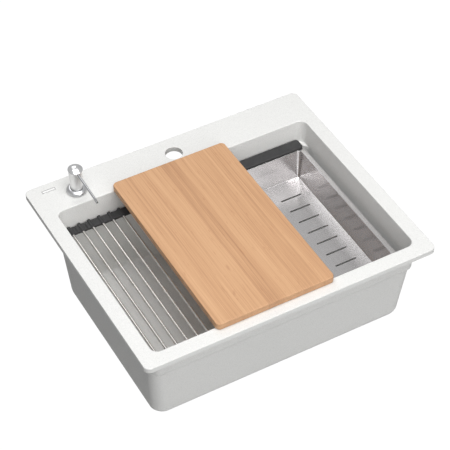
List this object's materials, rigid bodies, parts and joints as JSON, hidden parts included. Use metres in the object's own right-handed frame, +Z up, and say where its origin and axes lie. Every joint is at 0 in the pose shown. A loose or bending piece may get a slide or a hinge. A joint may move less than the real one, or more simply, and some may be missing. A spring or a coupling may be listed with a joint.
{
  "type": "workstation kitchen sink",
  "caption": "Drop-in composite kitchen sink with a ledge that carries a slotted pan and a roll-up rack, a board on its rim, a soap pump and a basket strainer.",
  "frame": {"origin": "middle of the front rim's underside, 13 mm behind the rim's front edge, where the rim rests on the worktop", "axes": "+X to the user's right along the width, +Y from the front edge to the tap deck, +Z up; the rim's top is at z = 0.012"},
  "size_m": [0.66, 0.557, 0.4056],
  "materials": {
    "composite": "matte, finely speckled",
    "name_plate": "satin, blank",
    "brushed_steel": "fine brushed",
    "polished_metal": "polished",
    "wood": "oiled",
    "silicone": "matte",
    "rubber": "matte",
    "nylon": "moulded",
    "fibre": "pressed fibre"
  },
  "bodies": {
    "sink": {"sink_bowl": "composite", "blank_plate": "name_plate", "strainer_seal": "rubber", "strainer_cup": "brushed_steel", "strainer_gasket": "rubber", "strainer_fibre_washer": "fibre", "strainer_locknut": "brushed_steel", "slip_washer": "nylon", "tailpiece": "polished_metal", "coupling_nut": "polished_metal", "dispenser_gasket": "rubber", "dispenser_collar": "polished_metal", "dispenser_washer": "rubber", "dispenser_nut": "nylon", "pump_cylinder": "nylon", "pump_spring": "brushed_steel", "dip_tube": "nylon", "soap_bottle": "nylon"},
    "board": {"cutting_board": "wood"},
    "colander": {"colander_pan": "brushed_steel", "colander_handle_back": "silicone", "colander_handle_front": "silicone"},
    "rack": {"rack_rod_3": "brushed_steel", "rack_rod_4": "brushed_steel", "rack_rod_5": "brushed_steel", "rack_rod_6": "brushed_steel", "rack_rod_7": "brushed_steel", "rack_rod_8": "brushed_steel", "rack_rod_9": "brushed_steel", "rack_rod_10": "brushed_steel", "rack_strip_back": "silicone", "rack_strip_front": "silicone"},
    "rack_link_2": {"rack_rod_2": "brushed_steel", "rack_link_2_back": "silicone", "rack_link_2_front": "silicone"},
    "rack_link_1": {"rack_rod_1": "brushed_steel", "rack_link_1_back": "silicone", "rack_link_1_front": "silicone"},
    "pump_rod": {"pump_stem": "nylon", "pump_piston": "rubber"},
    "pump_head": {"head_neck": "brushed_steel", "head_spout": "polished_metal", "head_cap": "polished_metal"},
    "basket_lift_out": {"basket": "brushed_steel", "basket_stopper": "rubber", "basket_post": "polished_metal"},
    "pump_inlet_ball": {"inlet_ball": "polished_metal"}
  },
  "joints": [
    {"name": "board_slide", "type": "slide", "parent": "sink", "child": "board", "axis": [1, 0, 0], "range_m": [-0.155, 0.219]},
    {"name": "colander_slide", "type": "slide", "parent": "sink", "child": "colander", "axis": [1, 0, 0], "range_m": [-0.07, 0.0105]},
    {"name": "rack_slide", "type": "slide", "parent": "sink", "child": "rack", "axis": [1, 0, 0], "range_m": [-0.004, 0.07]},
    {"name": "rack_roll", "type": "hinge", "parent": "rack", "child": "rack_link_2", "pos_m": [-0.2399, 0.237, -0.0382], "axis": [0, 1, 0], "range_deg": [0, 108]},
    {"name": "rack_tip", "type": "hinge", "parent": "rack_link_2", "child": "rack_link_1", "pos_m": [-0.2631, 0.237, -0.0382], "axis": [0, 1, 0], "range_deg": [0, 108]},
    {"name": "pump_press", "type": "slide", "parent": "sink", "child": "pump_rod", "axis": [0, 0, -1], "range_m": [0, 0.012], "stiffness_N_per_m": 400, "springref_m": -0.02, "deforming": ["pump_spring"]},
    {"name": "head_swivel", "type": "hinge", "parent": "pump_rod", "child": "pump_head", "pos_m": [-0.2305, 0.494, 0.052], "axis": [0, 0, 1], "continuous": true},
    {"name": "basket_lift", "type": "slide", "parent": "sink", "child": "basket_lift_out", "axis": [0, 0, 1], "range_m": [0, 0.03]},
    {"name": "inlet_ball_lift", "type": "slide", "parent": "sink", "child": "pump_inlet_ball", "axis": [0, 0, 1], "range_m": [0, 0.003]}
  ],
  "couplings": [
    {"joint": "rack_tip", "follows": "rack_roll", "ratio": 1}
  ]
}
